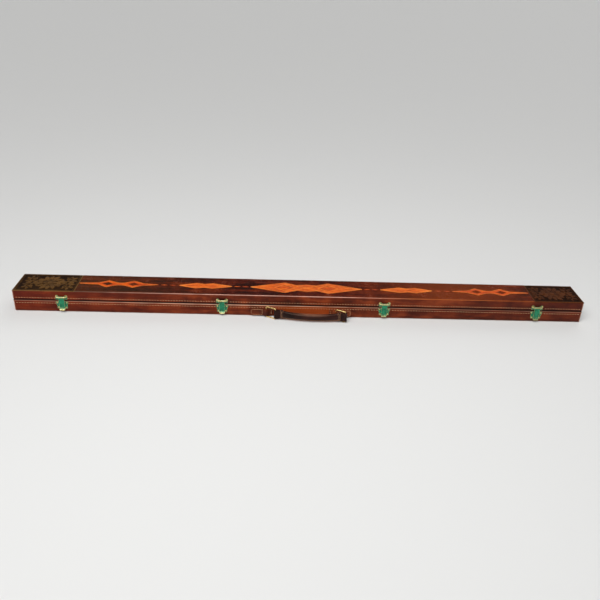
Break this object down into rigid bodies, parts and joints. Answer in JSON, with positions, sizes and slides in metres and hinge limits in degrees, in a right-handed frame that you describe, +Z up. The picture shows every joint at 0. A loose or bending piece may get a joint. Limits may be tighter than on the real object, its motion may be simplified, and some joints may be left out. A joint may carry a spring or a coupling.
{
  "type": "pool cue case",
  "caption": "Long leather-covered hard case with a hinged lid, snap hasps and a swinging handle, holding a one-piece pool cue in lined cradles.",
  "frame": {"origin": "centre of the case's underside, where it rests", "axes": "+X along the case, -Y out of the front with the hasps and handle, +Z up through the lid"},
  "size_m": [1.5, 0.1365, 0.0605],
  "materials": {
    "case_leather": "red-brown smooth leather, satin, worn",
    "top_leather": "dark red-brown polished leather, glossy",
    "inlay_leather": "orange-tan inlaid leather, glossy",
    "tooled_leather": "carved and stained leather, satin",
    "box_wood": "plain softwood",
    "plush": "short wine-red plush",
    "latch_brass": "brass with a green patina and bright edges",
    "bright_brass": "polished brass",
    "steel": "plain steel pin",
    "tab_leather": "red-brown strap leather",
    "handle_leather": "dark purple-brown leather",
    "rope": "twisted cotton rope",
    "cue_rubber": "black rubber",
    "cue_cap": "ivory-coloured plastic",
    "cue_dark_wood": "lacquered rosewood with spliced points",
    "cue_maple": "lacquered maple",
    "cue_ferrule": "white plastic",
    "cue_tip": "chalked leather tip"
  },
  "bodies": {
    "base": {"base_back_rail": "box_wood", "base_cover_back": "case_leather", "base_cover_bottom": "case_leather", "base_cover_front": "case_leather", "base_cover_left": "case_leather", "base_cover_right": "case_leather", "base_floor_board": "box_wood", "base_front_rail": "box_wood", "base_left_end": "box_wood", "base_lining": "plush", "base_right_end": "box_wood", "cue_bumper": "cue_rubber", "cue_butt": "cue_dark_wood", "cue_butt_cap": "cue_cap", "cue_cradles": "plush", "cue_ferrule": "cue_ferrule", "cue_shaft": "cue_maple", "cue_tip": "cue_tip", "handle_tab_left": "tab_leather", "handle_tab_right": "tab_leather", "hinge_leaves_base": "bright_brass", "hinge_pins": "steel", "hinge_screws_base": "bright_brass", "latch_keepers": "latch_brass", "latch_rivets_base": "bright_brass"},
    "lid": {"hinge_leaves_lid": "bright_brass", "hinge_screws_lid": "bright_brass", "inlay_centre": "inlay_leather", "inlay_dashes": "inlay_leather", "inlay_diamonds": "inlay_leather", "inlay_eyes": "top_leather", "inlay_lenses": "inlay_leather", "latch_lid_plates": "latch_brass", "latch_pins": "bright_brass", "latch_rivets_lid": "bright_brass", "lid_back_rail": "box_wood", "lid_cover_back": "case_leather", "lid_cover_front": "case_leather", "lid_cover_left": "case_leather", "lid_cover_right": "case_leather", "lid_front_rail": "box_wood", "lid_left_end": "box_wood", "lid_lining": "plush", "lid_pads": "plush", "lid_right_end": "box_wood", "lid_top_board": "box_wood", "lid_top_panel": "top_leather", "tooled_panel_left": "tooled_leather", "tooled_panel_right": "tooled_leather"},
    "hasp_1": {"latch_hasp_1": "latch_brass"},
    "hasp_2": {"latch_hasp_2": "latch_brass"},
    "hasp_3": {"latch_hasp_3": "latch_brass"},
    "hasp_4": {"latch_hasp_4": "latch_brass"},
    "ring_left": {"handle_ring_left": "bright_brass"},
    "ring_right": {"handle_ring_right": "bright_brass"},
    "handle": {"handle_core": "rope", "handle_grip_cover": "handle_leather", "handle_strap_left": "handle_leather", "handle_strap_right": "handle_leather"}
  },
  "joints": [
    {"name": "lid_hinge", "type": "hinge", "parent": "base", "child": "lid", "pos_m": [0, 0.0511, 0.0341], "axis": [-1, 0, 0], "range_deg": [0, 180]},
    {"name": "hasp_1_swing", "type": "hinge", "parent": "lid", "child": "hasp_1", "pos_m": [-0.625, -0.0519, 0.0434], "axis": [-1, 0, 0], "range_deg": [0, 120]},
    {"name": "hasp_2_swing", "type": "hinge", "parent": "lid", "child": "hasp_2", "pos_m": [-0.209, -0.0519, 0.0434], "axis": [-1, 0, 0], "range_deg": [0, 120]},
    {"name": "hasp_3_swing", "type": "hinge", "parent": "lid", "child": "hasp_3", "pos_m": [0.219, -0.0519, 0.0434], "axis": [-1, 0, 0], "range_deg": [0, 120]},
    {"name": "hasp_4_swing", "type": "hinge", "parent": "lid", "child": "hasp_4", "pos_m": [0.627, -0.0519, 0.0434], "axis": [-1, 0, 0], "range_deg": [0, 120]},
    {"name": "handle_swing", "type": "hinge", "parent": "base", "child": "ring_left", "pos_m": [-0.093, -0.053, 0.016], "axis": [0, 0, -1], "range_deg": [-6, 130]},
    {"name": "handle_on_left_ring", "type": "hinge", "parent": "ring_left", "child": "handle", "pos_m": [-0.06828, -0.06614, 0.016], "axis": [0, 0, -1], "range_deg": [-130, 6]},
    {"name": "ring_right_swing", "type": "hinge", "parent": "base", "child": "ring_right", "pos_m": [0.09, -0.062, 0.016], "axis": [0, 0, -1], "range_deg": [-6, 130]}
  ],
  "couplings": [
    {"joint": "handle_on_left_ring", "follows": "handle_swing", "ratio": -1},
    {"joint": "ring_right_swing", "follows": "handle_swing", "ratio": 1}
  ]
}
